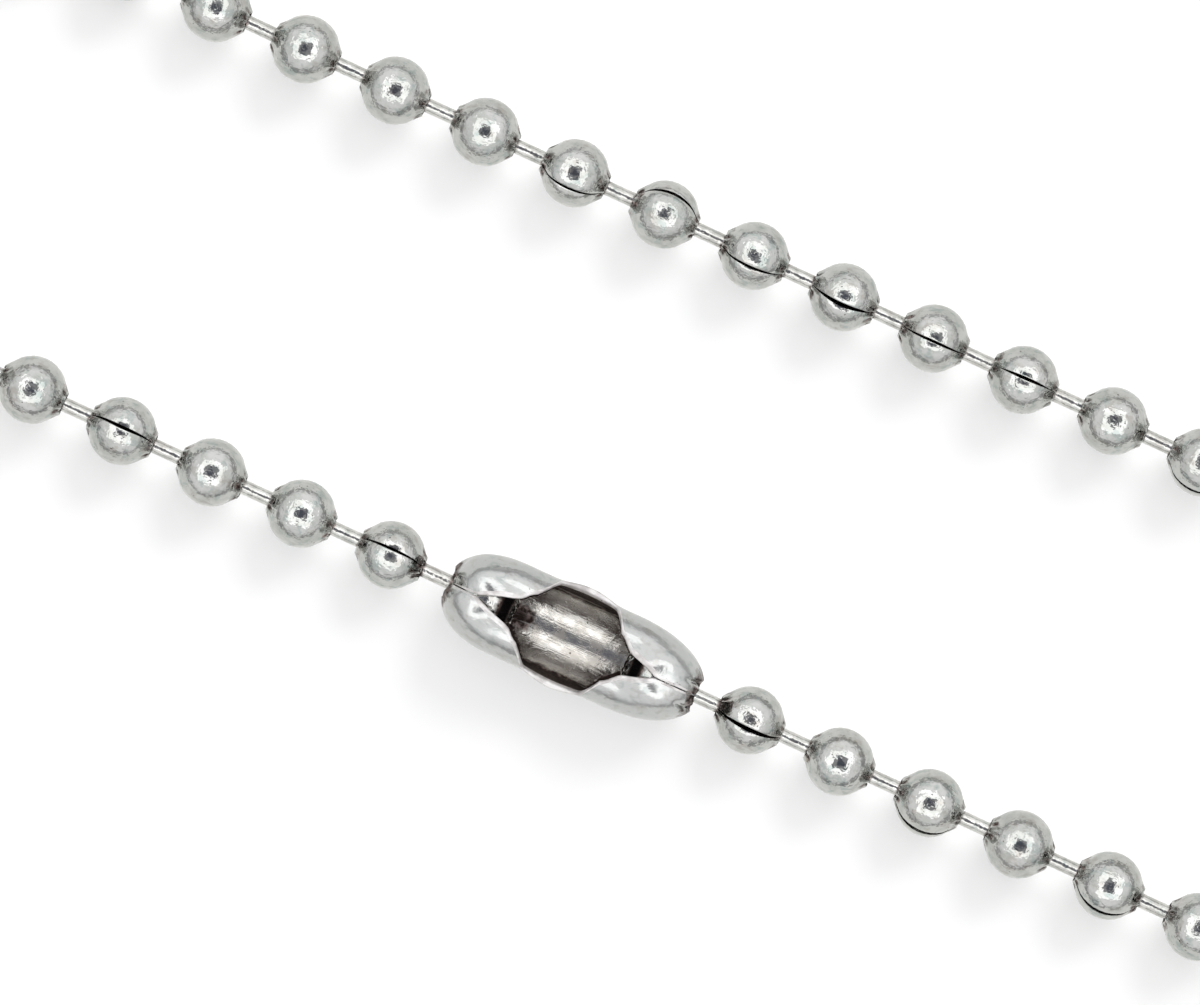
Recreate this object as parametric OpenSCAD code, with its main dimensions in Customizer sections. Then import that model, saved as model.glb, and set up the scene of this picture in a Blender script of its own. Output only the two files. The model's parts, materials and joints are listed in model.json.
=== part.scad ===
// Ball chain necklace with its snap clasp, lying flat as one long closed loop.
// Hollow beads of rolled sheet are joined by pins with two heads, and the last bead at
// each end sits in a clasp folded from one piece of sheet.
// Millimetres, +Z up. The loop's long way is X, and the beads and the clasp rest on z = 0.

/* [Bead] */
// Outside diameter of a bead
bead_d = 3.2; // [3.1:0.05:3.25]
// Thickness of the sheet that a bead is rolled from
bead_wall = 0.28; // [0.2:0.01:0.3]
// Diameter of the hole that runs through a bead
bead_hole_d = 0.96; // [0.94:0.01:1.0]
// Outside diameter of the drawn lip round each end of that hole
bead_lip_d = 1.1; // [1.06:0.02:1.14]
// Distance from the bead's centre to the face of each lip
bead_lip_reach = 1.6; // [1.57:0.01:1.63]
// Width of the open seam, at the middle of the bead
bead_seam_w = 0.15; // [0.1:0.01:0.18]
// Distance from the bead's middle to each end of the open seam
bead_seam_reach = 1.3; // [1.0:0.05:1.35]

/* [Pin] */
// Distance between the centres of two neighbouring beads
pitch = 4.58; // [4.5:0.01:4.7]
// Diameter of the pin's shank
shank_d = 0.68; // [0.6:0.02:0.7]
// Diameter of the pin's head, inside the bead
head_d = 1.12; // [1.08:0.02:1.14]
// Thickness of the head
head_t = 0.4; // [0.3:0.02:0.44]
// Distance from the bead's centre to the shoulder of the head
head_shoulder = 0.78; // [0.7:0.02:0.8]

/* [Loop] */
// Distance between the two straight strands
strand_gap = 19.65; // [19.2:0.05:20.2]
// Beads on a straight strand, from its middle to where it starts to turn
strand_steps = 27; // [12:1:28]
// How far the far strand's beads lie ahead of the near strand's
strand_lead = 0.33; // [0:0.01:0.6]

/* [Clasp] */
// Width and height that the clasp's round body has before its top is rolled in
clasp_d = 4.54; // [4.5:0.01:4.58]
// Thickness of the clasp's sheet
clasp_wall = 0.22; // [0.18:0.01:0.24]
// Distance from the middle of the mouth to the tip of the left end
left_tip = 6.2; // [6.18:0.01:6.3]
// Distance from the middle of the mouth to the tip of the right end
right_tip = 6.42; // [6.4:0.01:6.5]
// Radius of the roll along each side of the seam
roll_r = 0.95; // [0.9:0.01:0.98]
// Gap left along the closed seam
clasp_seam_w = 0.06; // [0.04:0.01:0.08]
// Radius of the hole at each end
end_hole_r = 0.84; // [0.82:0.01:0.88]
// How far each side of the mouth is spread outwards
mouth_flare = 0.22; // [0:0.01:0.26]
// Distance from the middle of the mouth to the bead held in each end
held_bead_x = 4.4; // [4.36:0.01:4.42]
// How far that bead hangs below the clasp's centreline
held_bead_drop = 0.3; // [0.28:0.01:0.32]

/* [Hidden] */
$fn = 32;

bead_r = bead_d / 2;
clasp_r = clasp_d / 2;
silver = [0.80, 0.80, 0.79];
past = 0.5; // how far a cutting tool runs past what it cuts

// The loop is a ring of equal steps. The near strand starts at the middle of the clasp, each
// turn takes turn_steps steps, and the far strand runs back.
turn_steps = 7;
far_steps = 2 * strand_steps;
ring_steps = 2 * (strand_steps + turn_steps) + far_steps;
mid_height = bead_r;

// Direction of step k of a turn, in degrees from the strand it leaves. With ease the turn
// starts and ends gently.
function turning(k, ease) =
    let (through = (k + 0.5) / turn_steps)
    180 * (through - ease * sin(360 * through));

// How far apart a turn lays the two strands
function sum(list) = [for (item = list) 1] * list;
function turn_width(ease) =
    pitch * sum([for (k = [0 : turn_steps - 1]) sin(turning(k, ease))]);

// The ease that lays them the wanted distance apart, found by halving
lean = atan2(strand_lead, strand_gap);
function turn_ease(low, high, rounds) =
    rounds == 0 ? (low + high) / 2 :
    let (middle = (low + high) / 2)
    turn_width(middle) > strand_gap / cos(lean)
        ? turn_ease(middle, high, rounds - 1)
        : turn_ease(low, middle, rounds - 1);
ease_limit = 0.1;
halvings = 24;
ease = turn_ease(-ease_limit, ease_limit, halvings);

// Direction of step i round the ring, in degrees from +X
far_from = strand_steps + turn_steps;
far_to = far_from + far_steps;
function heading(i) =
    i < strand_steps ? 0 :
    i < far_from ? turning(i - strand_steps, ease) - lean :
    i < far_to ? 180 :
    i < ring_steps - strand_steps ? 180 + turning(i - far_to, ease) - lean :
    360;

function step(i) = pitch * [cos(heading(i)), sin(heading(i)), 0];

ring = [for (i = 0, at = [0, 0, 0]; i < ring_steps; at = at + step(i), i = i + 1) at];

// The part's box has its centre at the origin, though the clasp is wider than the beads
near_edge = -(clasp_r + mouth_flare);
far_edge = strand_gap + bead_r;
ring_at = [-strand_lead / 2, -(near_edge + far_edge) / 2, mid_height];

// Where bead i sits. The first and the last are held in the clasp.
held_rise = clasp_r - held_bead_drop - mid_height;
function bead_at(i) = ring_at + (
    i == 1 ? [held_bead_x, 0, held_rise] :
    i == ring_steps - 1 ? [-held_bead_x, 0, held_rise] :
    ring[i]);

// A bead's hole lies along the middle direction between its two neighbours. A held bead has
// only one, and points at it.
function unit(v) = v / norm(v);
function ahead(i) = unit(bead_at(i + 1) - bead_at(i));
function bead_axis(i) =
    i == 1 ? ahead(1) :
    i == ring_steps - 1 ? ahead(i - 1) :
    unit(ahead(i - 1) + ahead(i));

// A pin passes through the middle of the hole in each of the two bead ends that it joins
bead_inner_r = bead_r - bead_wall;
pin_seat = (bead_lip_reach + sqrt(pow(bead_inner_r, 2) - pow(bead_hole_d / 2, 2))) / 2;
function pin_from(i) = bead_at(i) + pin_seat * bead_axis(i);
function pin_to(i) = bead_at(i + 1) - pin_seat * bead_axis(i + 1);

// Where the open seams face, in degrees from straight up towards the near side. A row is a
// bead's place, in steps to the right of the clasp's middle, and what its seam faces. The
// near beads are those beside the clasp, and the far ones lie across from it. Each other
// seam is turned by the same odd step from its neighbour's.
PLACE = 0;
FACES = 1;
near_seams = [
    [-6, 170], [-5, -8], [-4, 150], [-3, 200], [-2, -12], [-1, 160],
    [1, 200], [2, 15], [3, 160], [4, 62], [5, 140], [6, 53], [7, 190]];
far_seams = [
    [-7, 140], [-6, 190], [-5, 150], [-4, 200], [-3, 170], [-2, 33], [-1, -39],
    [0, 24], [1, 15], [2, 8], [3, -2], [4, 140], [5, 65]];
seam_odd_step = 137.5;
far_middle = far_from + strand_steps;
function listed(rows, place) = [for (row = rows) if (row[PLACE] == place) row[FACES]];
function seam_faces(i) =
    let (found = concat(
        listed(near_seams, i),
        listed(near_seams, i - ring_steps),
        listed(far_seams, far_middle - i)))
    len(found) > 0 ? found[0] : i * seam_odd_step;

// Turns +Z to the direction v
module along(v) {
    rotate([0, acos(v.z / norm(v)), atan2(v.y, v.x)])
        children();
}

// The bead lies on +Z. Each lip tapers out of the ball, from a ring that is just inside it.
lip_from = 1.25;
lip_inset = 0.01;
lip_from_r = sqrt(pow(bead_r, 2) - pow(lip_from, 2)) - lip_inset;
module lip() {
    translate([0, 0, lip_from])
        cylinder(h = bead_lip_reach - lip_from, r1 = lip_from_r, d2 = bead_lip_d);
}

// A wedge with its edge on the bead's centreline, so that the seam closes towards the holes.
// It points along -X, which along() turns upwards.
module seam_cut() {
    reach = bead_r + past;
    half_w = bead_seam_w / 2 * reach / bead_r;
    linear_extrude(height = 2 * bead_seam_reach, center = true)
        polygon([[0, 0], [-reach, -half_w], [-reach, half_w]]);
}

module bead(faces) {
    difference() {
        union() {
            sphere(r = bead_r);
            lip();
            mirror([0, 0, 1]) lip();
        }
        sphere(r = bead_inner_r);
        cylinder(h = 2 * (bead_lip_reach + past), d = bead_hole_d, center = true);
        rotate([0, 0, faces]) seam_cut();
    }
}

// The pin lies on +Z with its middle at the origin
module pin(seats_apart) {
    shoulder = seats_apart / 2 + pin_seat - head_shoulder;
    cylinder(h = 2 * shoulder + head_t, d = shank_d, center = true);
    for (end = [-1, 1])
        translate([0, 0, end * (shoulder + head_t / 2)])
            cylinder(h = head_t, d = head_d, center = true);
}

// On the far strand the chain runs the other way, which turns the seam's sense round
function sense(v) = v.x < 0 ? -1 : 1;

module beads() {
    color(silver)
        for (i = [1 : ring_steps - 1])
            translate(bead_at(i))
                along(bead_axis(i)) bead(sense(bead_axis(i)) * seam_faces(i));
}

module pins() {
    color(silver)
        for (i = [1 : ring_steps - 2])
            translate((pin_from(i) + pin_to(i)) / 2)
                along(pin_to(i) - pin_from(i)) pin(norm(pin_to(i) - pin_from(i)));
}

// The clasp's section is a big arc under it and, from roll_start up, a smaller roll on each
// side of the seam that turns down towards the middle. A point of it is found from the
// direction that the outside faces there, in degrees above level.
bottom = -90;
roll_end = 146;
roll_y = clasp_seam_w / 2 - roll_r * cos(roll_end);
roll_z = sqrt(pow(clasp_r - roll_r, 2) - pow(roll_y, 2));
roll_start = atan2(roll_z, roll_y);
function rolled(facing) = facing <= roll_start
    ? clasp_r * [cos(facing), sin(facing)]
    : [roll_y, roll_z] + roll_r * [cos(facing), sin(facing)];

// The same point of a plain round section, which the ends change to
function round_facing(facing) = bottom + (facing - bottom) * 180 / (roll_end - bottom);
function plain(facing) = clasp_r * [cos(round_facing(facing)), sin(round_facing(facing))];

// Each row is a place along the clasp, and how far up and over the sheet's edge reaches there,
// as the direction that the outside faces. The mouth is between the first row and the last.
ALONG = 0;
EDGE = 1;
mouth = [
    [-5.0, 146], [-4.4, 126], [-3.74, 106], [-2.8, 84], [-2.34, 58], [-1.87, 40],
    [-1.6, 24], [-1.4, 12], [-0.8, 5], [0, 3], [0.8, 5], [1.35, 12], [1.55, 23],
    [1.87, 44], [2.34, 70], [2.8, 95], [3.5, 114], [4.1, 131], [4.5, 146]];
mouth_rows = len(mouth);
function edge_at(x) = min(roll_end, lookup(x, mouth));

// Each end follows a blunt oval. A row is where its tip is, the length that is rounded, how
// blunt it is from above and from the side, where 2 would be an ellipse, and how fast the
// rolls fade.
TIP = 0;
ROUNDED = 1;
BLUNT = 2;
SIDE_BLUNT = 3;
FADE = 4;
left_end = [left_tip, 3.1, 2.5, 2.6, 1.5];
right_end = [right_tip, 3.6, 2.2, 2.6, 1];
function end_at(x) = x < 0 ? left_end : right_end;

// How far x is into the rounding, as a share that would be 1 where the oval closes, and the
// section's size there
function round_from(end) = end[TIP] - end[ROUNDED];
function share_at_hole(end) = pow(1 - pow(end_hole_r / clasp_r, end[BLUNT]), 1 / end[BLUNT]);
function oval_length(end) = end[ROUNDED] / share_at_hole(end);
function share(x) = max(0, (abs(x) - round_from(end_at(x))) / oval_length(end_at(x)));
function girth(x, blunt) = pow(1 - pow(share(x), blunt), 1 / blunt);

// The end holes lie lower than the body's centreline, in line with the chain's pins
hole_drop = held_bead_drop
    + held_rise * (right_tip - held_bead_x) / (2 * pitch - held_bead_x);
drop_power = 2.5;
end_roll_share = 0.15; // what is left of the rolls at the end holes
flare_half = 1.8; // the mouth's sides are spread this far each way from its middle
flare_from = -60; // and from this direction upwards

function spread(x, facing) =
    abs(x) > flare_half || facing < flare_from ? 0 :
    mouth_flare * pow(cos(90 * x / flare_half), 2)
        * pow((facing - flare_from) / -flare_from, 2);

// Direction faced at a share up of the way from the bottom to the sheet's edge. The lower
// part of the sheet is the same all along the clasp.
side_facing = -20;
side_share = 0.4;
function facing_at(x, up) = up < side_share
    ? bottom + (side_facing - bottom) * up / side_share
    : side_facing + (edge_at(x) - side_facing) * (up - side_share) / (1 - side_share);

// Point of the clasp's outside at x. The other side of the seam has a negative share.
function outside(x, up) =
    let (facing = facing_at(x, abs(up)),
        end = end_at(x),
        kept = 1 - (1 - end_roll_share) * pow(share(x), end[FADE]),
        flat = kept * rolled(facing) + (1 - kept) * plain(facing),
        width = girth(x, end[BLUNT]) * flat.x + spread(x, facing),
        y = up == 0 ? 0 : sign(up) * max(width, clasp_seam_w / 2))
    [x, y, girth(x, end[SIDE_BLUNT]) * flat.y - hole_drop * pow(share(x), drop_power)];

// Places along the clasp: the mouth's rows with even steps between them, and steps that close
// up towards each tip
longest_step = 0.3;
mouth_places = [
    for (i = [0 : mouth_rows - 2])
        let (from = mouth[i][ALONG],
            gap = mouth[i + 1][ALONG] - from,
            steps = ceil(gap / longest_step))
        for (n = [0 : steps - 1])
            from + gap * n / steps];
tip_steps = 8;
function turn_at(x) = asin(pow(share(x), end_at(x)[BLUNT] / 2));
function tip_places(from, tip) =
    let (start = turn_at(from), turn = turn_at(tip) - start, end = end_at(tip))
    [for (n = [0 : tip_steps])
        sign(tip) * (round_from(end)
            + oval_length(end) * pow(sin(start + turn * n / tip_steps), 2 / end[BLUNT]))];
left_places = tip_places(mouth[0][ALONG], -left_tip);
right_places = tip_places(mouth[mouth_rows - 1][ALONG], right_tip);
places = concat(
    [for (n = [tip_steps : -1 : 1]) left_places[n]],
    mouth_places,
    right_places);

// The inside is the outside moved in by the sheet's thickness
sheet_steps = 40;
outer_grid = [for (x = places) [for (n = [0 : sheet_steps]) outside(x, 2 * n / sheet_steps - 1)]];
last_place = len(places) - 1;
function outward(i, n) =
    let (run = outer_grid[min(i + 1, last_place)][n] - outer_grid[max(i - 1, 0)][n],
        round = outer_grid[i][min(n + 1, sheet_steps)] - outer_grid[i][max(n - 1, 0)],
        normal = cross(round, run))
    normal / norm(normal);
function inside(i, n) =
    let (p = outer_grid[i][n] - clasp_wall * outward(i, n),
        side = sign(2 * n - sheet_steps))
    [p.x, side * max(side * p.y, side == 0 ? 0 : clasp_seam_w / 2), p.z];
inner_grid = [for (i = [0 : last_place]) [for (n = [0 : sheet_steps]) inside(i, n)]];

function flatten(grid) = [for (row = grid) each row];

module clasp() {
    wide = sheet_steps + 1;
    inner = wide * (last_place + 1);
    function at(i, n) = i * wide + n;
    function both(a, b, c, d) = [[a, c, b], [a, d, c]];
    skin = [
        for (i = [0 : last_place - 1], n = [0 : sheet_steps - 1])
            each both(at(i, n), at(i, n + 1), at(i + 1, n + 1), at(i + 1, n))];
    lining = [for (f = skin) [f[0] + inner, f[2] + inner, f[1] + inner]];
    edges = [
        for (i = [0 : last_place - 1])
            each concat(
                both(at(i, 0), at(i + 1, 0), at(i + 1, 0) + inner, at(i, 0) + inner),
                both(at(i + 1, sheet_steps), at(i, sheet_steps),
                    at(i, sheet_steps) + inner, at(i + 1, sheet_steps) + inner))];
    rims = [
        for (n = [0 : sheet_steps - 1])
            each concat(
                both(at(0, n + 1), at(0, n), at(0, n) + inner, at(0, n + 1) + inner),
                both(at(last_place, n), at(last_place, n + 1),
                    at(last_place, n + 1) + inner, at(last_place, n) + inner))];
    color(silver)
        translate([ring_at.x, ring_at.y, clasp_r])
            polyhedron(
                points = concat(flatten(outer_grid), flatten(inner_grid)),
                faces = concat(skin, lining, edges, rims),
                convexity = 10);
}

beads();
pins();
clasp();
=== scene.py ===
# %% [markdown]
# # A ball chain necklace and its snap clasp
# On the real chain, each hollow bead is rolled from thin sheet round the heads of two short
# pins, so every bead has an open seam and two crimped lips. The last bead at each end sits in
# a clasp folded from one piece of sheet. The CAD model already holds every size and place.
# This lesson measures its solids, builds finer pieces exactly where they are, and gives them
# the finish of plated metal that has been handled for some years.

# %% The CAD frame
import json
import math

import bpy
import numpy as np
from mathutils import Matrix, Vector

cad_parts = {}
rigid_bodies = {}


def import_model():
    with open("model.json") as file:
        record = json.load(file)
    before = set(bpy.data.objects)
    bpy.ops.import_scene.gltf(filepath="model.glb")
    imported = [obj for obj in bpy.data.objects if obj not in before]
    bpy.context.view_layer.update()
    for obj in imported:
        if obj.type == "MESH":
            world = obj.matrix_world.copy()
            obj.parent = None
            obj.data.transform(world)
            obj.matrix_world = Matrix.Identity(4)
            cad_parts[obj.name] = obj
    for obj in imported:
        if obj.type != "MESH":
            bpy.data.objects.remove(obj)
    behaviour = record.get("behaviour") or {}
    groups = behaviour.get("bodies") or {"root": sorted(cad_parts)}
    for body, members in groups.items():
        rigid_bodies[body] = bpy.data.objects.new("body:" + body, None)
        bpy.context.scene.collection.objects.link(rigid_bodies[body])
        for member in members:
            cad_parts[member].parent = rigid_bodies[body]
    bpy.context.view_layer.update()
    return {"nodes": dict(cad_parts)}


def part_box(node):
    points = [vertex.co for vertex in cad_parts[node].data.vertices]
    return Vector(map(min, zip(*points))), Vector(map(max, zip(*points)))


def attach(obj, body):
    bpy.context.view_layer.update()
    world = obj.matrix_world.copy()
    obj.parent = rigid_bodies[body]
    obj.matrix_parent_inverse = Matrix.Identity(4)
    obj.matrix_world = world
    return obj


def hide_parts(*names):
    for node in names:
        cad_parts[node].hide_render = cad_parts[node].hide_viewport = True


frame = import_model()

MM = 0.001
BODY = "root"

# %% [markdown]
# ## Loose solids of a CAD node
# The chain's CAD nodes hold many loose solids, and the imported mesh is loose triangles. Corners
# that share a place are one corner, and triangles that share a corner are one solid. Blender
# could part them with Separate by Loose Parts, but numpy does it faster and changes nothing:
# every corner takes the lowest label among its triangles until no label changes.

# %% Loose solids
WELD = 1e-7


def corners_and_triangles(node):
    """Corners of a CAD node, with those that share a place made one, and its triangles."""
    mesh = frame["nodes"][node].data
    points = np.empty(len(mesh.vertices) * 3)
    mesh.vertices.foreach_get("co", points)
    points = points.reshape(-1, 3)
    mesh.calc_loop_triangles()
    triangles = np.empty(len(mesh.loop_triangles) * 3, int)
    mesh.loop_triangles.foreach_get("vertices", triangles)
    _, first, same = np.unique(np.round(points / WELD), axis=0, return_index=True, return_inverse=True)
    return points[first], same.ravel()[triangles].reshape(-1, 3)


def loose_solids(node):
    """The corners of each triangle of each loose solid, as arrays of (triangle, corner, xyz)."""
    points, triangles = corners_and_triangles(node)
    label = np.arange(len(points))
    while True:
        lower = label.copy()
        np.minimum.at(lower, triangles.ravel(), np.repeat(label[triangles].min(axis=1), 3))
        if (lower == label).all():
            break
        label = lower
    owner = label[triangles[:, 0]]
    return [points[triangles[owner == one]] for one in np.unique(owner)]


bead_solids = loose_solids("beads")
pin_solids = loose_solids("pins")
print(len(bead_solids), "bead solids and", len(pin_solids), "pin solids")

# %% [markdown]
# ## The order of the chain
# A bead's middle is the middle of its box. The chain starts at the bead that the right end of
# the clasp holds, and goes on to the nearest bead each time. A bead's hole lies along the
# middle direction between its two neighbours, and a held bead points at its only neighbour.

# %% Chain order
def unit(vectors):
    """The same directions, each one long."""
    return vectors / np.linalg.norm(vectors, axis=-1, keepdims=True)


def middle(solid):
    """The middle of a solid's box."""
    corners = solid.reshape(-1, 3)
    return (corners.min(axis=0) + corners.max(axis=0)) / 2


def chain_order(places, first):
    """Numbers of the places from the first on, each the nearest one that is left."""
    order, left = [first], set(range(len(places))) - {first}
    while left:
        here = places[order[-1]]
        order.append(min(left, key=lambda i: np.linalg.norm(places[i] - here)))
        left.remove(order[-1])
    return order


bead_places = np.array([middle(solid) for solid in bead_solids])
clasp_low, clasp_high = (np.array(corner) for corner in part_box("clasp"))
held = [i for i, at in enumerate(bead_places) if (at > clasp_low).all() and (at < clasp_high).all()]
order = chain_order(bead_places, max(held, key=lambda i: bead_places[i][0]))
bead_places = bead_places[order]
bead_solids = [bead_solids[i] for i in order]

steps = unit(np.diff(bead_places, axis=0))
hole_along = unit(np.vstack([steps[:1], steps[1:] + steps[:-1], steps[-1:]]))
mouth_middle = (bead_places[0] + bead_places[-1]) / 2
print("beads in the clasp:", len(held), " chain from bead to bead in mm:",
      round(float(np.linalg.norm(np.diff(bead_places, axis=0), axis=1).sum()) / MM, 1))

# %% [markdown]
# ## Sizes and seams, measured on the CAD solids
# The ball's radius, the sheet's thickness, the hole and the lip are read off one bead. The
# walls of the open seam are the only faces of a bead that look sideways round its hole, so the
# mean of their places says where each seam faces. The CAD ball has flat facets, so a rounder
# one is made a hair smaller to stay inside its box.

# %% Bead measures
SIDEWAYS = 0.2
HAIR = 0.01 * MM
INSIDE_FACETS = 0.993
FREE_BEAD = 2


def bead_measures(solid, at, along):
    """Radii of the ball outside and inside, of the lip and of the hole, and how far a lip reaches."""
    offset = solid.reshape(-1, 3) - at
    reach = offset @ along
    away = np.linalg.norm(offset - np.outer(reach, along), axis=1)
    lip = away[reach > reach.max() - HAIR]
    return {
        "ball": away.max(),
        "inner": np.linalg.norm(offset, axis=1).min(),
        "reach": reach.max(),
        "lip": lip.max(),
        "hole": lip.min(),
    }


def seam_direction(solid, at, along):
    """Direction, square to the hole, that the open seam of a bead faces."""
    looks = unit(np.cross(solid[:, 1] - solid[:, 0], solid[:, 2] - solid[:, 0]))
    offset = solid.mean(axis=1) - at
    outwards = unit(offset - np.outer(offset @ along, along))
    wall = (abs(looks @ along) < SIDEWAYS) & (abs((looks * outwards).sum(axis=1)) < SIDEWAYS)
    return unit(outwards[wall].mean(axis=0))


bead = bead_measures(bead_solids[FREE_BEAD], bead_places[FREE_BEAD], hole_along[FREE_BEAD])
bead["ball"] *= INSIDE_FACETS
seam_faces = np.array([
    seam_direction(*one) for one in zip(bead_solids, bead_places, hole_along)])
print("bead in mm:", {name: round(float(size) / MM, 3) for name, size in bead.items()})

# %% [markdown]
# ## A sheet with two skins
# Beads and clasp are both bent sheet. Each is two grids of points, an outer skin and an inner
# one, with rows along the piece and columns round it. Quads join the points of a skin, and
# narrow strips close the four edges between the skins, so the mesh is a closed solid. Where an
# edge turns sharply, its shading is split, and everywhere else it is smooth.

# %% Sheet mesh
SHARP = math.radians(50)


def put_on_points(mesh, title, kind, values):
    """Writes one value for each point, which node trees and materials read by its title."""
    field = "vector" if kind == "FLOAT_VECTOR" else "value"
    mesh.attributes.new(title, kind, "POINT").data.foreach_set(field, np.ravel(values).tolist())


def sheet_faces(rows, columns):
    """Quads of a closed sheet whose outer points come first and whose inner points follow."""
    index = np.arange(rows * columns).reshape(rows, columns)
    inner = rows * columns

    def quads(a, b, c, d):
        return np.stack([a, b, c, d], axis=-1).reshape(-1, 4)

    skin = quads(index[:-1, :-1], index[1:, :-1], index[1:, 1:], index[:-1, 1:])
    strips = [
        quads(edge[:-1], edge[:-1] + inner, edge[1:] + inner, edge[1:])
        for edge in (index[:, 0], index[::-1, -1], index[-1], index[0, ::-1])]
    return np.vstack([skin, skin[:, ::-1] + inner] + strips)


def sheet_mesh(name, outer, inner, grime_shade_values):
    """A closed sheet between two grids of points. The last argument is each grid's mask of grime and
    painted shade.
    """
    rows, columns = outer.shape[:2]
    points = np.vstack([outer.reshape(-1, 3), inner.reshape(-1, 3)])
    faces = sheet_faces(rows, columns)
    mesh = bpy.data.meshes.new(name)
    mesh.from_pydata(points.tolist(), [], faces.tolist())
    along, round_it = np.meshgrid(
        np.linspace(0, 1, rows), np.linspace(0, 1, columns), indexing="ij")
    flat = np.tile(np.stack([round_it, along], axis=-1).reshape(-1, 2), (2, 1))
    unwrapped = mesh.uv_layers.new(name="UVMap")
    unwrapped.data.foreach_set("uv", flat[faces.ravel()].astype(np.float32).ravel())
    put_on_points(mesh, "grime_shade_mask", "FLOAT", grime_shade_values)
    mesh.shade_smooth()
    mesh.set_sharp_from_angle(angle=SHARP)
    return mesh


# %% [markdown]
# ## One rolled bead
# A blank is rolled into a ball, and its two ends are squeezed round the pins. The squeezed
# sheet has too much length for the small lip, so it puckers into pleats and its rim is ragged.
# The seam stays open like a narrow leaf. A bead is therefore a grid of rings: on the ball the
# ring's radius follows a circle, on the lip it follows a cone, and pleats press it in. All of
# it is in ball radii, with the hole along X and the seam up.

# %% Bead profiles
BEAD_COLUMNS = 56
POINTS_ROUND = BEAD_COLUMNS + 3
BALL_DEGREES = [11, 22, 33, 43]
LIP_SHARES = [0.18, 0.36, 0.52, 0.66, 0.78, 0.9, 1.0]
INSIDE_DEGREES = [14, 28, 42, 54, 63]
BORE_SHARES = [0.0, 0.2, 0.4, 0.6, 0.8, 1.0]
LIP_THICKNESS = 0.9

ball = 1.0
inside = bead["inner"] / bead["ball"]
hole = bead["hole"] / bead["ball"]
lip = hole + LIP_THICKNESS * (bead["lip"] - bead["hole"]) / bead["ball"]
reach = bead["reach"] / bead["ball"]
one_mm = MM / bead["ball"]


def on_ball(radius, degrees):
    """(along, radius) on a ball, at some degrees from the middle of the bead."""
    turned = np.radians(degrees)
    return radius * np.stack([np.sin(turned), np.cos(turned)], axis=-1)


def profile(radius, degrees, start, end, shares):
    """(along, radius) from lip to lip: round a ball, then straight from start to end."""
    straight = start + np.outer(shares, end - start)
    half = np.vstack([on_ball(radius, degrees), straight])
    return np.vstack([half[::-1] * [-1, 1], on_ball(radius, [0]), half])


outer_profile = profile(ball, BALL_DEGREES, on_ball(ball, BALL_DEGREES)[-1],
                        np.array([reach, lip]), LIP_SHARES)
inner_profile = profile(inside, INSIDE_DEGREES, np.array([math.sqrt(inside**2 - hole**2), hole]),
                        np.array([reach, hole]), BORE_SHARES)
print("rows from lip to lip:", len(outer_profile), "and inside:", len(inner_profile))

# %% Pleats
PLEATS = 9
PLEAT_STRAY = 0.35
PLEAT_DEPTH = (0.04, 0.13)
PLEAT_HALF_WIDTH = (0.15, 0.27)
PLEAT_SHAPE = 1.3
PLEAT_START = (0.62, 0.86)
PLEAT_FULL = 0.93
RIM_SHALLOWER = 0.55
CREST_LIFT = (0.0, 0.07)
CREST_START = 0.88
RIM_NOTCH = (0.0, 0.10)
NOTCH_START = 0.86


def smooth_step(values, start, end):
    share = np.clip((values - start) / (end - start), 0, 1)
    return share * share * (3 - 2 * share)


def round_distance(angles, at):
    """How far apart two directions round the hole are, in radians."""
    return abs((angles - at + math.pi) % (2 * math.pi) - math.pi)


def pleated(angles, along, chance):
    """How far pleats press the lip in, and how far they notch its rim, in mm."""
    pressed, notched = np.zeros_like(angles), np.zeros_like(angles)
    for end in (-1, 1):
        at_end = end * along > 0
        turn = chance.uniform(0, 2 * math.pi)
        for pleat in range(PLEATS):
            at = turn + (pleat + chance.uniform(-PLEAT_STRAY, PLEAT_STRAY)) * 2 * math.pi / PLEATS
            depth = chance.uniform(*PLEAT_DEPTH)
            width = chance.uniform(*PLEAT_HALF_WIDTH)
            start = chance.uniform(*PLEAT_START)
            notch = chance.uniform(*RIM_NOTCH)
            lift = chance.uniform(*CREST_LIFT)
            shape = np.clip(1 - round_distance(angles, at) / width, 0, 1) ** PLEAT_SHAPE
            crest = np.clip(1 - round_distance(angles, at + math.pi / PLEATS) / width, 0, 1)
            grown = smooth_step(abs(along), start, PLEAT_FULL)
            fade = 1 - RIM_SHALLOWER * smooth_step(abs(along), PLEAT_FULL, reach)
            pressed += at_end * depth * shape * grown * fade
            pressed -= at_end * lift * crest * smooth_step(abs(along), CREST_START, reach)
            notched += at_end * notch * shape * smooth_step(abs(along), NOTCH_START, reach)
    return pressed, notched


print("pleats on each lip:", PLEATS)

# %% Open seam
SEAM_HALF_WIDTH = (0.055, 0.10)
SEAM_TIGHT = 0.014
SEAM_OPEN_TO = (0.7, 1.05)
SEAM_SHAPE = 1.2
SEAM_WANDER = 0.025
WANDER_BENDS = (2, 4)
WANDER_START = (0, 6)
EDGE_WIDTH = 0.06


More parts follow.
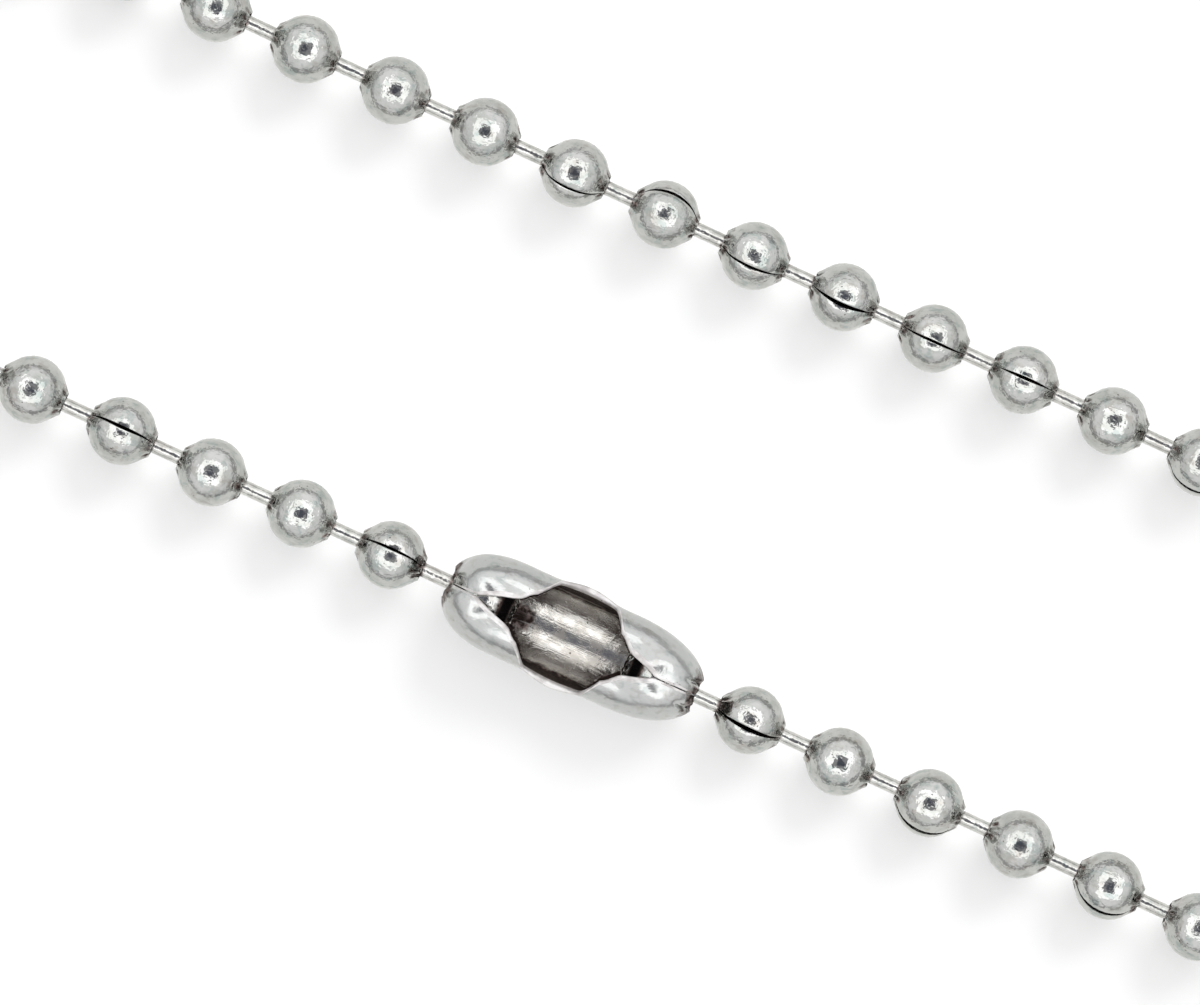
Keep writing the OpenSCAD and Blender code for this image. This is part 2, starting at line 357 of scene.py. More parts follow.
def bead_angles(along, radius, chance):
    """Direction round the hole of each point, from one edge of the open seam to the other."""
    open_share = np.clip(1 - (along / chance.uniform(*SEAM_OPEN_TO)) ** 2, 0, 1) ** SEAM_SHAPE
    gap = (SEAM_TIGHT + chance.uniform(*SEAM_HALF_WIDTH) * open_share) * one_mm / radius
    bends, start = chance.uniform(*WANDER_BENDS), chance.uniform(*WANDER_START)
    wander = SEAM_WANDER * one_mm * np.sin(along * bends + start) / radius
    from_edge = (gap + EDGE_WIDTH * one_mm / radius)[:, :1]
    share = np.linspace(0, 1, BEAD_COLUMNS + 1)[None, :]
    between = from_edge + (2 * math.pi - 2 * from_edge) * share
    return np.hstack([gap[:, :1], between, 2 * math.pi - gap[:, :1]]) + wander


print("points round a bead:", POINTS_ROUND)

# %% [markdown]
# ## Grime and painted shade on a bead, and the patterns
# Dirt gathers in the pleats, and sleeves rub the very rim a little cleaner. The darker lips are
# also painted shade, with the neighbouring beads and pins mirrored in them painted in too. Each
# point keeps this as one value, from 0 to 1. On the two beads that the clasp holds, a band
# beside the lips is painted black as shade, and there the value goes past 1. Six seeded
# patterns are enough, because each bead is turned its own way, and one more is the held bead.

# %% Bead patterns
# Darker lips: partly dirt in the pleats, partly painted shade and painted reflection of the neighbouring
# beads and pins.
GRIME_SHADE_FROM = (0.60, 0.90)
GRIME_SHADE_EVEN = 0.44
GRIME_SHADE_IN_PLEATS = 0.6
RIM_CLEAN = 0.06
RIM_RUBBED = 0.5
HELD_SHADE_FROM = (0.51, 0.60)
HELD_LIP_FROM = (0.82, 0.90)
HELD_SHADE_LEVEL = 2.0
SEAM_SINK = (0.0, 0.05)
SEAM_SINK_WIDTH = 0.4
EDGE_DEPTH = 0.02
THINNEST = 0.02
BEAD_PATTERNS = 6
SEED = 7


def bead_grime_and_shade(along, pressed, held):
    """How dirty each point outside is, and how much shade is painted on it."""
    grimy = GRIME_SHADE_EVEN + GRIME_SHADE_IN_PLEATS * pressed / PLEAT_DEPTH[1]
    rubbed = RIM_RUBBED * smooth_step(abs(along), reach - RIM_CLEAN, reach)
    grime_shade_mask = np.clip(smooth_step(abs(along), *GRIME_SHADE_FROM) * grimy * (1 - rubbed), 0, 1)
    # A held bead gets a black band of painted shade beside each lip, where the clasp shades it.
    if held:
        painted_black = smooth_step(abs(along), *HELD_SHADE_FROM)
        painted_black = painted_black * (1 - smooth_step(abs(along), *HELD_LIP_FROM))
        grime_shade_mask = np.maximum(grime_shade_mask, HELD_SHADE_LEVEL * painted_black)
    return grime_shade_mask


def round_hole(along, radius, angles):
    """Points at those distances from the hole's line, in those directions round it."""
    return np.stack([along, radius * np.sin(angles), radius * np.cos(angles)], axis=-1)


def rolled_bead(name, chance, held=False):
    """One bead's mesh, whose seam has one edge sunk a little below the other."""
    along, radius, inner_along, inner_radius = (
        np.repeat(side, POINTS_ROUND, axis=1)
        for grown in (outer_profile, inner_profile) for side in np.hsplit(grown, 2))
    angles = bead_angles(along, radius, chance)
    pressed, notched = pleated(angles, along, chance)
    sunk_edge = angles if chance.uniform() < 0.5 else 2 * math.pi - angles
    sunk = chance.uniform(*SEAM_SINK) * np.exp(-sunk_edge / SEAM_SINK_WIDTH)
    radius = radius - (pressed + sunk * np.cos(along * math.pi / 2 / reach)) * one_mm
    radius[:, [0, -1]] -= EDGE_DEPTH * one_mm
    inner_radius = np.minimum(inner_radius, radius - THINNEST * one_mm)
    along = along - np.sign(along) * notched * one_mm
    inner_along = inner_along - np.sign(inner_along) * notched * one_mm
    grime_shade_mask = bead_grime_and_shade(along, pressed, held)
    # The inner skin takes the full value: painted shade inside the bead.
    return sheet_mesh(name, round_hole(along, radius, angles),
                      round_hole(inner_along, inner_radius, angles), (grime_shade_mask, np.ones_like(grime_shade_mask)))


chance = np.random.default_rng(SEED)
patterns = bpy.data.collections.new("bead_patterns")
bpy.context.scene.collection.children.link(patterns)
for number in range(BEAD_PATTERNS + 1):
    rolled = rolled_bead(f"bead_{number}", chance, held=number == BEAD_PATTERNS)
    pattern = bpy.data.objects.new(f"bead_pattern_{number}", rolled)
    patterns.objects.link(pattern)
print(BEAD_PATTERNS + 1, "patterns of", len(pattern.data.polygons) * 2, "triangles each")

# %% [markdown]
# ## Helpers for node trees
# A node tree is easier to read when each node is one call that also says what feeds it. The
# first helper below adds a node, sets its options and fills each input with a value or with
# another node's output. The same helper serves geometry, shader and world trees, and the rest
# are short names for what these trees use most.

# %% Node helpers
def put(tree, kind, feeds=None, **options):
    """Adds a node. feeds gives an input, by its name or number, a value or an output."""
    made = tree.nodes.new(kind)
    for name, value in options.items():
        setattr(made, name, value)
    for socket, value in (feeds or {}).items():
        if isinstance(value, bpy.types.NodeSocket):
            tree.links.new(value, made.inputs[socket])
        else:
            made.inputs[socket].default_value = value
    return made


def reckon(tree, operation, *values):
    """A Math node's output. Each value is a number or an output."""
    return put(tree, "ShaderNodeMath", dict(enumerate(values)), operation=operation).outputs[0]


def ramp(tree, value, start, end, low=0.0, high=1.0):
    """Low up to start, high from end on, and smooth between them."""
    return put(tree, "ShaderNodeMapRange",
               {0: value, 1: start, 2: end, 3: low, 4: high},
               interpolation_type="SMOOTHSTEP").outputs[0]


def noise(tree, place, scale, detail):
    """A value from 0 to 1 that wavers so many times in each metre or unit of the place."""
    return put(tree, "ShaderNodeTexNoise",
               {"Vector": place, "Scale": scale, "Detail": detail}).outputs[0]


def mixed(tree, share, color, other):
    """A colour that goes from the first to the other as the share goes from 0 to 1."""
    return put(tree, "ShaderNodeMix", {0: share, 6: color, 7: other}, data_type="RGBA").outputs[2]


def new_group(name, kind, inputs, outputs):
    """An empty group and what comes into it. A socket has a kind, or a number as its default."""
    tree = bpy.data.node_groups.new(name, kind)
    for direction, wanted in (("INPUT", inputs), ("OUTPUT", outputs)):
        for title, value in wanted.items():
            is_number = isinstance(value, float)
            socket_kind = "NodeSocketFloat" if is_number else f"NodeSocket{value}"
            made = tree.interface.new_socket(title, in_out=direction, socket_type=socket_kind)
            if is_number:
                made.default_value = value
    return tree, put(tree, "NodeGroupInput").outputs


# %% Helpers for Geometry Nodes
def on_points(tree, title, kind):
    """What the points carry under that title."""
    return put(tree, "GeometryNodeInputNamedAttribute", {"Name": title}, data_type=kind).outputs[0]


def end_tree(tree, geometry, finish, title):
    """Makes real faces, gives them their finish and puts them out under that title."""
    real = put(tree, "GeometryNodeRealizeInstances", {"Geometry": geometry})
    done = put(tree, "GeometryNodeSetMaterial", {"Geometry": real.outputs[0], "Material": finish})
    put(tree, "NodeGroupOutput", {title: done.outputs[0]})


def grow(name, mesh, tree, settings):
    """Runs a geometry tree on a mesh and returns the result as an object with a plain mesh."""
    piece = bpy.data.objects.new(name, mesh)
    bpy.context.scene.collection.objects.link(piece)
    modifier = piece.modifiers.new(tree.name, "NODES")
    modifier.node_group = tree
    inputs = {s.name: s.identifier for s in tree.interface.items_tree if s.in_out == "INPUT"}
    for title, value in settings.items():
        modifier[inputs[title]] = value
    graph = bpy.context.evaluated_depsgraph_get()
    grown = bpy.data.meshes.new_from_object(piece.evaluated_get(graph), depsgraph=graph)
    piece.modifiers.remove(modifier)
    piece.data = grown
    grown.name = name
    print(name, "has", sum(len(p.vertices) - 2 for p in grown.polygons), "triangles")
    return piece


# %% [markdown]
# ## Fine wear, as a shared group
# Years of handling leave the same marks on every piece: low dents and waves that make
# reflections wobble, grain, hairline scratches, small pits in the plating, dull smudges and a
# thin veil of tarnish. One shader group makes them all and gives out a height in millimetres
# and three masks. Each material feeds it its own coordinates and strengths, so that beads are
# scratched from hole to hole and the clasp along its length.

# %% Fine wear group
# How many times in a metre each mark repeats, and its detail
MARKS = {
    "dents": (620.0, 1.0), "waves": (2600.0, 2.0), "grain": (9000.0, 2.0),
    "smudges": (1500.0, 5.0), "pit sizes": (1900.0, 3.0), "veil": (2500.0, 4.0)}
PIT_CELLS = 5200.0
LINE_DETAIL = 3.0
LINES_STRAY = (200.0, 200.0, 200.0)
SCRATCHES_ALONG = 5.0
# Each ramp: where it starts and ends, and its values there unless they are 0 and 1
SMUDGED = (0.38, 0.64)
PITTED = (0.52, 0.75, 0.0, 0.34)
PIT_EDGE = (0.0, 0.14)
GRAINY = (0.42, 0.6, 0.3, 1.5)
SCRATCHED = (0.3, 0.6, 0.15, 1.0)
TARNISHED = (0.48, 0.64)
STREAKS = 0.2


def lines_along(tree, given, times_round, times_along):
    """Noise drawn out into thin lines that run along the piece and stray a little."""
    often = put(tree, "ShaderNodeCombineXYZ", {"X": times_round, "Y": times_along, "Z": 1.0})
    drawn = put(tree, "ShaderNodeVectorMath", {0: given["Unwrapped"], 1: often.outputs[0]},
                operation="MULTIPLY")
    strayed = put(tree, "ShaderNodeVectorMath",
                  {0: given["Place"], 1: LINES_STRAY, 2: drawn.outputs[0]}, operation="MULTIPLY_ADD")
    return noise(tree, strayed.outputs[0], 1.0, LINE_DETAIL)


def fine_wear():
    tree, given = new_group(
        "Fine wear", "ShaderNodeTree",
        {"Place": "Vector", "Unwrapped": "Vector", "Dent height": 0.05, "Wave height": 0.018,
         "Grain height": 0.009, "Scratch height": 0.004, "Pit depth": 0.008, "Scratches round": 90.0},
        {"Height": "Float", "Smudge": "Float", "Tarnish": "Float", "Pits": "Float"})
    marks = {mark: noise(tree, given["Place"], *sizes) for mark, sizes in MARKS.items()}
    scratches = lines_along(tree, given, given["Scratches round"], SCRATCHES_ALONG)
    cells = put(tree, "ShaderNodeTexVoronoi", {"Vector": given["Place"], "Scale": PIT_CELLS})
    in_pit = reckon(tree, "SUBTRACT", ramp(tree, marks["pit sizes"], *PITTED), cells.outputs["Distance"])
    pits = ramp(tree, in_pit, *PIT_EDGE)
    grainy = reckon(tree, "MULTIPLY", given["Grain height"], ramp(tree, marks["waves"], *GRAINY))
    scratched = reckon(tree, "MULTIPLY", given["Scratch height"],
                       ramp(tree, marks["smudges"], *SCRATCHED))
    sunk = reckon(tree, "MULTIPLY", given["Pit depth"], -1.0)
    height = 0.0
    for mark, strength in (
            (marks["dents"], given["Dent height"]), (marks["waves"], given["Wave height"]),
            (marks["grain"], grainy), (scratches, scratched), (pits, sunk)):
        height = reckon(tree, "MULTIPLY_ADD", mark, strength, height)
    veil = reckon(tree, "MULTIPLY", marks["veil"], 1 - STREAKS)
    tarnish = ramp(tree, reckon(tree, "MULTIPLY_ADD", scratches, STREAKS, veil), *TARNISHED)
    smudge = ramp(tree, marks["smudges"], *SMUDGED)
    put(tree, "NodeGroupOutput",
        {"Height": height, "Smudge": smudge, "Tarnish": tarnish, "Pits": pits})
    return tree


wear_group = fine_wear()
print("wear group gives out:", [s.name for s in wear_group.interface.items_tree if s.in_out == "OUTPUT"])

# %% [markdown]
# ## Grime in the crimps and painted shade, as a shared group
# Where the sheet is squeezed, dirt and brown tarnish stay in the folds, and no cloth reaches
# them. The same mask also paints shade: on the bead lips, where the pins go into the holes,
# inside the beads and inside the clasp. The second group turns a piece's own value into a
# patchy mask, a colour and the height of small wrinkles that run into the hole. The wrinkles'
# crests are rubbed clean, except where the value is near 1, deep in the folds and in the
# painted shade. Past 1 it is painted shade, and black.

# %% Crimp grime and painted shade group
# Colours of grime, also used for painted shade; the third is the black of painted shade.
DARK_GRIME_AND_SHADE = (0.042, 0.029, 0.026, 1.0)
PALE_GRIME_AND_SHADE = (0.33, 0.265, 0.245, 1.0)
PAINTED_SHADE_BLACK = (0.006, 0.005, 0.005, 1.0)
# How many times in a metre each repeats, and its detail
GRIME_SHADE_PATCHES = (3100.0, 5.0)
GRIME_SHADE_TINTS = (5200.0, 2.0)
GRIME_SHADE_REACH = 1.25
WRINKLES_ALONG = 3.0
# Ramps, as for the fine wear
GRIME_SHADE_SOFT = (-0.1, 0.4)
PALE_TINT = (0.4, 0.68)
PALE_CRIMP = (0.75, 1.0, 1.0, 0.15)
PAINTED_BLACK_FROM = (1.0, 1.6)
RUBBED_CREST = (0.08, 0.2, 1.0, 0.2)
NEVER_RUBBED = (0.85, 1.0)


def crimp_grime_and_shade():
    tree, given = new_group(
        "Grime and painted shade", "ShaderNodeTree",
        {"Place": "Vector", "Unwrapped": "Vector", "Dirt shade mask": "Float", "Wrinkle height": 0.06,
         "Wrinkles round": 36.0},
        {"Grime and shade": "Float", "Color": "Color", "Height": "Float"})
    grime_shade_mask = given["Dirt shade mask"]
    bare = reckon(tree, "SUBTRACT", 1.0, noise(tree, given["Place"], *GRIME_SHADE_PATCHES))
    patchy = reckon(tree, "SUBTRACT", reckon(tree, "MULTIPLY", grime_shade_mask, GRIME_SHADE_REACH), bare)
    pale = reckon(tree, "MULTIPLY",
                  ramp(tree, noise(tree, given["Place"], *GRIME_SHADE_TINTS), *PALE_TINT),
                  ramp(tree, grime_shade_mask, *PALE_CRIMP))
    color = mixed(tree, pale, DARK_GRIME_AND_SHADE, PALE_GRIME_AND_SHADE)
    # Past 1 the colour turns to the black of painted shade.
    color = mixed(tree, ramp(tree, grime_shade_mask, *PAINTED_BLACK_FROM), color, PAINTED_SHADE_BLACK)
    wrinkles = lines_along(tree, given, given["Wrinkles round"], WRINKLES_ALONG)
    folded = reckon(tree, "ABSOLUTE", reckon(tree, "SUBTRACT", wrinkles, 0.5))
    unrubbed = reckon(tree, "MAXIMUM", ramp(tree, folded, *RUBBED_CREST),
                      ramp(tree, grime_shade_mask, *NEVER_RUBBED))
    grime_and_shade = reckon(tree, "MULTIPLY", ramp(tree, patchy, *GRIME_SHADE_SOFT), unrubbed)
    crimped = reckon(tree, "MINIMUM", grime_shade_mask, 1.0)
    tall = reckon(tree, "MULTIPLY", given["Wrinkle height"], reckon(tree, "MULTIPLY", crimped, crimped))
    height = reckon(tree, "MULTIPLY", reckon(tree, "MULTIPLY", folded, 2.0), tall)
    put(tree, "NodeGroupOutput", {"Grime and shade": grime_and_shade, "Color": color, "Height": height})
    return tree


grime_shade_group = crimp_grime_and_shade()
print("grime group gives out:", [s.name for s in grime_shade_group.interface.items_tree if s.in_out == "OUTPUT"])

# %% [markdown]
# ## Plated metal
# The finish is a nickel grey plate: fully metallic, neutral, and smooth enough to mirror the
# studio, though never quite even. Roughness rises in smudges and in grime and painted shade,
# and the two groups' heights feed one Bump node. Colour is that of the plate, veiled by tarnish
# that drifts from green grey to warm grey, darkened by pits and replaced by the colour of grime
# and painted shade. Beads aren't all worn alike, so each also brings a value of its own, wear,
# that makes it rougher. The pins are brighter wire, and the clasp is polished outside, only
# brushed inside, and bare and bright along its cut edges.

# %% Metal material
PLATE = (0.58, 0.583, 0.57, 1.0)
PLATE_DULL = (0.49, 0.50, 0.48, 1.0)
TARNISH_GREEN = (0.24, 0.325, 0.31, 1.0)
TARNISH_WARM = (0.37, 0.325, 0.29, 1.0)
TARNISH_DRIFT = (900.0, 1.0)
TARNISH_TURN = (0.44, 0.58)
PIT_COLOR = (0.16, 0.14, 0.13, 1.0)
WORN = 0.05


def plated_metal(name, plate=PLATE, dull=PLATE_DULL, polish=0.03, smudged=0.09, grimy=0.4,
                 tarnished=0.42, **strengths):
    """polish is the clean metal's roughness, and smudged and grimy are what it rises to."""
    finish = bpy.data.materials.new(name)
    finish.use_nodes = True
    tree = finish.node_tree
    shader = tree.nodes["Principled BSDF"]
    place = put(tree, "ShaderNodeTexCoord").outputs["Object"]
    unwrapped = put(tree, "ShaderNodeUVMap", uv_map="UVMap").outputs[0]
    grime_shade_mask = put(tree, "ShaderNodeAttribute", attribute_name="grime_shade_mask").outputs["Fac"]
    worn = put(tree, "ShaderNodeAttribute", attribute_name="wear").outputs["Fac"]
    wear = put(tree, "ShaderNodeGroup", node_tree=wear_group)
    grime_and_shade = put(tree, "ShaderNodeGroup", node_tree=grime_shade_group)
    for group in (wear, grime_and_shade):
        tree.links.new(place, group.inputs["Place"])
        tree.links.new(unwrapped, group.inputs["Unwrapped"])
        for title, value in strengths.items():
            socket = title.replace("_", " ").capitalize()
            if socket in group.inputs:
                group.inputs[socket].default_value = value
    tree.links.new(grime_shade_mask, grime_and_shade.inputs["Dirt shade mask"])
    smudge, dirt_and_shade = wear.outputs["Smudge"], grime_and_shade.outputs["Grime and shade"]
    drift = ramp(tree, noise(tree, place, *TARNISH_DRIFT), *TARNISH_TURN)
    tint = mixed(tree, drift, TARNISH_GREEN, TARNISH_WARM)
    color = mixed(tree, smudge, plate, dull)
    color = mixed(tree, reckon(tree, "MULTIPLY", wear.outputs["Tarnish"], tarnished), color, tint)
    color = mixed(tree, wear.outputs["Pits"], color, PIT_COLOR)
    # Where the mask says so, the grime colour replaces the plate: dirt, and painted shade.
    color = mixed(tree, dirt_and_shade, color, grime_and_shade.outputs["Color"])
    rough = reckon(tree, "MULTIPLY_ADD", smudge, smudged - polish, polish)
    rough = reckon(tree, "MULTIPLY_ADD", dirt_and_shade, grimy - polish, rough)
    rough = reckon(tree, "MULTIPLY_ADD", worn, WORN, rough)
    height = reckon(tree, "ADD", wear.outputs["Height"], grime_and_shade.outputs["Height"])
    bump = put(tree, "ShaderNodeBump", {"Strength": 1.0, "Distance": MM, "Height": height})
    for socket, output in (("Base Color", color), ("Roughness", rough), ("Normal", bump.outputs[0])):
        tree.links.new(output, shader.inputs[socket])
    shader.inputs["Metallic"].default_value = 1.0
    return finish


bead_plate = plated_metal("bead_plate")
print("first metal:", bead_plate.name)

# %% Pin and clasp metals
BRIGHT_WIRE = (0.70, 0.695, 0.67, 1.0)
WIRE_DULL = (0.55, 0.545, 0.52, 1.0)
CLASP_PLATE = (0.555, 0.563, 0.555, 1.0)
CLASP_DULL = (0.56, 0.57, 0.565, 1.0)
BRUSHED = (0.72, 0.70, 0.665, 1.0)
BRUSHED_DULL = (0.60, 0.57, 0.525, 1.0)
BARE = (0.86, 0.84, 0.835, 1.0)
BARE_DULL = (0.60, 0.575, 0.57, 1.0)

pin_plate = plated_metal("pin_plate", BRIGHT_WIRE, WIRE_DULL, polish=0.14, smudged=0.2, tarnished=0.3,
                         dent_height=0.02, wave_height=0.02, grain_height=0.008, pit_depth=0.006)
clasp_plate = plated_metal("clasp_plate", CLASP_PLATE, CLASP_DULL, polish=0.16, smudged=0.24,
                           tarnished=0.25, wave_height=0.009, grain_height=0.003, scratch_height=0.003,
                           pit_depth=0.002)
clasp_brushed = plated_metal("clasp_brushed", BRUSHED, BRUSHED_DULL, polish=0.2, smudged=0.28,
                             tarnished=0.1, dent_height=0.004, wave_height=0.003, grain_height=0.005,
                             scratch_height=0.013, scratches_round=170.0)
clasp_bare = plated_metal("clasp_bare", BARE, BARE_DULL, polish=0.5, smudged=0.6, tarnished=0.1)
clasp_finishes = [clasp_plate, clasp_brushed, clasp_bare]
print("metals:", [finish.name for finish in [bead_plate, pin_plate] + clasp_finishes])

# %% [markdown]
# ## Beads along the chain
# The chain repeats one part at known places, which is what Instance on Points is for. The
# points carry two directions each, where the hole runs and where the seam faces, and Axes to
# Rotation turns a pattern to them. A seeded Random Value picks the pattern, except that a held
# bead takes the last one, and another gives each bead its wear. Realize Instances makes real
# faces for the export, and Set Material gives the finish. The chain is made in four runs, so
# that each is a mesh of moderate size.

# %% Bead tree
def bead_tree():
    """Patterns set on points, each turned to its hole and seam, as real faces."""
    tree, given = new_group(
        "Beads on a chain", "GeometryNodeTree",
        {"Places": "Geometry", "Patterns": "Collection", "Held pattern": "Int",
         "Ball radius": "Float", "Seed": "Int", "Finish": "Material"},
        {"Beads": "Geometry"})
    patterns = put(tree, "GeometryNodeCollectionInfo",
                   {"Collection": given["Patterns"], "Separate Children": True, "Reset Children": True})
    turned = put(tree, "FunctionNodeAxesToRotation",
                 {"Primary Axis": on_points(tree, "hole_along", "FLOAT_VECTOR"),
                  "Secondary Axis": on_points(tree, "seam_faces", "FLOAT_VECTOR")},
                 primary_axis="X", secondary_axis="Z")
    number = on_points(tree, "number", "INT")
    usual = reckon(tree, "SUBTRACT", given["Held pattern"], 1.0)
    picked = put(tree, "FunctionNodeRandomValue",
                 {4: 0, 5: usual, "ID": number, "Seed": given["Seed"]}, data_type="INT")
    chosen = put(tree, "GeometryNodeSwitch",
                 {"Switch": on_points(tree, "held", "BOOLEAN"), "False": picked.outputs[2],
                  "True": given["Held pattern"]}, input_type="INT")
    beads = put(tree, "GeometryNodeInstanceOnPoints",
                {"Points": given["Places"], "Instance": patterns.outputs[0], "Pick Instance": True,
                 "Instance Index": chosen.outputs[0], "Rotation": turned.outputs[0],
                 "Scale": given["Ball radius"]})
    wear = put(tree, "FunctionNodeRandomValue",
               {2: 0.0, 3: 1.0, "ID": number, "Seed": given["Seed"]}, data_type="FLOAT")
    worn = put(tree, "GeometryNodeStoreNamedAttribute",
               {"Geometry": beads.outputs[0], "Name": "wear", "Value": wear.outputs[1]},
               data_type="FLOAT", domain="INSTANCE")
    end_tree(tree, worn.outputs[0], given["Finish"], "Beads")
    return tree


def places_mesh(name, numbers):
    """One point for each bead, with its directions and its number in the chain."""
    mesh = bpy.data.meshes.new(name)
    mesh.from_pydata(bead_places[numbers].tolist(), [], [])
    put_on_points(mesh, "hole_along", "FLOAT_VECTOR", hole_along[numbers])
    put_on_points(mesh, "seam_faces", "FLOAT_VECTOR", seam_faces[numbers])
    put_on_points(mesh, "number", "INT", numbers)
    put_on_points(mesh, "held", "BOOLEAN", np.isin(numbers, [0, len(bead_places) - 1]))
    return mesh


beads_on_chain = bead_tree()
print("the bead tree has", len(beads_on_chain.nodes), "nodes")

# %% Bead runs
RUNS = ["near_right", "far_right", "far_left", "near_left"]

bead_runs = []
for run, numbers in zip(RUNS, np.array_split(np.arange(len(bead_places)), len(RUNS))):
    bead_runs.append(grow(
        f"beads_{run}", places_mesh(f"places_{run}", numbers), beads_on_chain,
        {"Patterns": patterns, "Held pattern": BEAD_PATTERNS, "Ball radius": bead["ball"],
         "Seed": SEED, "Finish": bead_plate}))
for pattern in list(patterns.objects):
    bpy.data.objects.remove(pattern)
bpy.data.collections.remove(patterns)

# %% [markdown]
# ## Headed pins
# A pin is a drawn wire whose two ends are upset into heads. It follows a straight path with a
# thickness that changes along it, which is just what Curve to Mesh makes. Each CAD pin gives
# its middle, its direction, its shank and its heads. The stations below follow the wire from
# its middle out, with a rounded shoulder and a rounded head.

# %% Pin measures
def pin_measures(solid):
    """Its middle and direction, half its length, its radii, and where its heads begin."""
    corners = np.unique(np.round(solid.reshape(-1, 3) / WELD), axis=0) * WELD
    at = middle(solid)
    along = np.linalg.svd(corners - at, full_matrices=False)[2][0]
    run = (corners - at) @ along
    away = np.linalg.norm(corners - at - np.outer(run, along), axis=1)
    on_shank = away < (away.max() + away.min()) / 2
    return {"at": at, "along": along, "half": run.max(), "shank": away[on_shank].max(),
            "head": away.max(), "shoulder": abs(run[~on_shank]).min()}


pins = [pin_measures(solid) for solid in pin_solids]
print("pin in mm:", {name: round(float(pins[0][name]) / MM, 3)
                     for name in ("half", "shank", "head", "shoulder")})

# %% Pin paths
HEAD_ROUNDING = 0.08 * MM
HOLE_MOUTH = 0.25 * MM
# (share of the stretch that shows between two beads, from its middle; painted shade there)
SHOWN_STATIONS = [(0.25, 0.0), (0.75, 0.15), (1.0, 0.6)]
# Painted shade grows towards each hole's mouth and is full inside the ball.
MOUTH_SHADE = 0.9

pitch = float(np.median(np.linalg.norm(np.diff(bead_places, axis=0), axis=1)))
shown = pitch / 2 - bead["reach"]
print("shown between two beads, in mm:", round(2 * shown / MM, 2))


def half_pin(pin):
    """(distance from the middle, thickness, painted shade) at each station of half a pin."""
    shank, head, shoulder, end = pin["shank"], pin["head"], pin["shoulder"], pin["half"]
    outside = [(share * shown, shank, grime_and_shade) for share, grime_and_shade in SHOWN_STATIONS]
    in_ball = [
        (shoulder - HEAD_ROUNDING, shank),
        (shoulder - HEAD_ROUNDING / 4, shank + HEAD_ROUNDING / 2),
        (shoulder, head - HEAD_ROUNDING),
        (shoulder + HEAD_ROUNDING / 2, head),
        (end - HEAD_ROUNDING, head),
        (end - HEAD_ROUNDING / 4, head - HEAD_ROUNDING / 2),
        (end, head - 2 * HEAD_ROUNDING)]
    return outside + [(shown + HOLE_MOUTH, shank, MOUTH_SHADE)] + [(*at, 1.0) for at in in_ball]


def pin_paths(pins):
    """One path for each pin, whose points carry its thickness and its painted shade."""
    points, thickness, grime_and_shade, edges = [], [], [], []
    for pin in pins:
        half = half_pin(pin)
        whole = [(-run, thick, dirt_and_shade) for run, thick, dirt_and_shade in half[::-1]] + half
        edges += [(len(points) + i, len(points) + i + 1) for i in range(len(whole) - 1)]
        points += [(pin["at"] + pin["along"] * run).tolist() for run, _, _ in whole]
        thickness += [thick for _, thick, _ in whole]
        grime_and_shade += [dirt_and_shade for _, _, dirt_and_shade in whole]
    mesh = bpy.data.meshes.new("pin_paths")
    mesh.from_pydata(points, edges, [])
    put_on_points(mesh, "thickness", "FLOAT", thickness)
    put_on_points(mesh, "grime_shade_mask", "FLOAT", grime_and_shade)
    return mesh


# %% Pin tree
PIN_SIDES = 20


def pin_tree():
    """Round wires along paths, as thick as the paths' points say."""
    tree, given = new_group(
        "Pins along paths", "GeometryNodeTree",
        {"Paths": "Geometry", "Sides": "Int", "Finish": "Material"}, {"Pins": "Geometry"})
    paths = put(tree, "GeometryNodeMeshToCurve", {"Mesh": given["Paths"]})
    ring = put(tree, "GeometryNodeCurvePrimitiveCircle", {"Resolution": given["Sides"], "Radius": 1.0})
    wires = put(tree, "GeometryNodeCurveToMesh",
                {"Curve": paths.outputs[0], "Profile Curve": ring.outputs[0],
                 "Scale": on_points(tree, "thickness", "FLOAT"), "Fill Caps": True})
    smooth = put(tree, "GeometryNodeSetShadeSmooth", {"Geometry": wires.outputs[0]})
    end_tree(tree, smooth.outputs[0], given["Finish"], "Pins")
    return tree


headed_pins = grow("pins_headed", pin_paths(pins), pin_tree(), {"Sides": PIN_SIDES, "Finish": pin_plate})

# %% [markdown]
# ## The clasp's folded sheet
# The clasp is one blank, folded up into a tube whose two long edges roll in and meet on top,
# with a wide mouth where a bead goes in. Across it, the sheet is a big arc below and a smaller
# roll on each side of the seam. Along it, each end closes in a blunt oval down to a round
# hole, and the rolls fade there. A grid of points follows these rules, one row for each place
# along the clasp and one column for each direction that the sheet faces, so the crisp mouth is
# simply where each row stops. The sizes are those of the CAD clasp, in millimetres.

# %% Clasp section
CLASP_RADIUS = 2.27
CLASP_WALL = 0.22
ROLL_RADIUS = 0.95
SEAM_WIDTH = 0.06
BOTTOM, TOP = -90.0, 90.0
ROLL_END = 146.0

roll_y = SEAM_WIDTH / 2 - ROLL_RADIUS * math.cos(math.radians(ROLL_END))
roll_z = math.sqrt((CLASP_RADIUS - ROLL_RADIUS) ** 2 - roll_y**2)
roll_start = math.degrees(math.atan2(roll_z, roll_y))


def round_section(radius, facing):
    turned = np.radians(facing)
    return radius * np.stack([np.cos(turned), np.sin(turned)], axis=-1)


def rolled_section(facing):
    """(across, up) where the outside faces that many degrees above level."""
    roll = round_section(ROLL_RADIUS, facing) + [roll_y, roll_z]
    return np.where((facing <= roll_start)[..., None], round_section(CLASP_RADIUS, facing), roll)


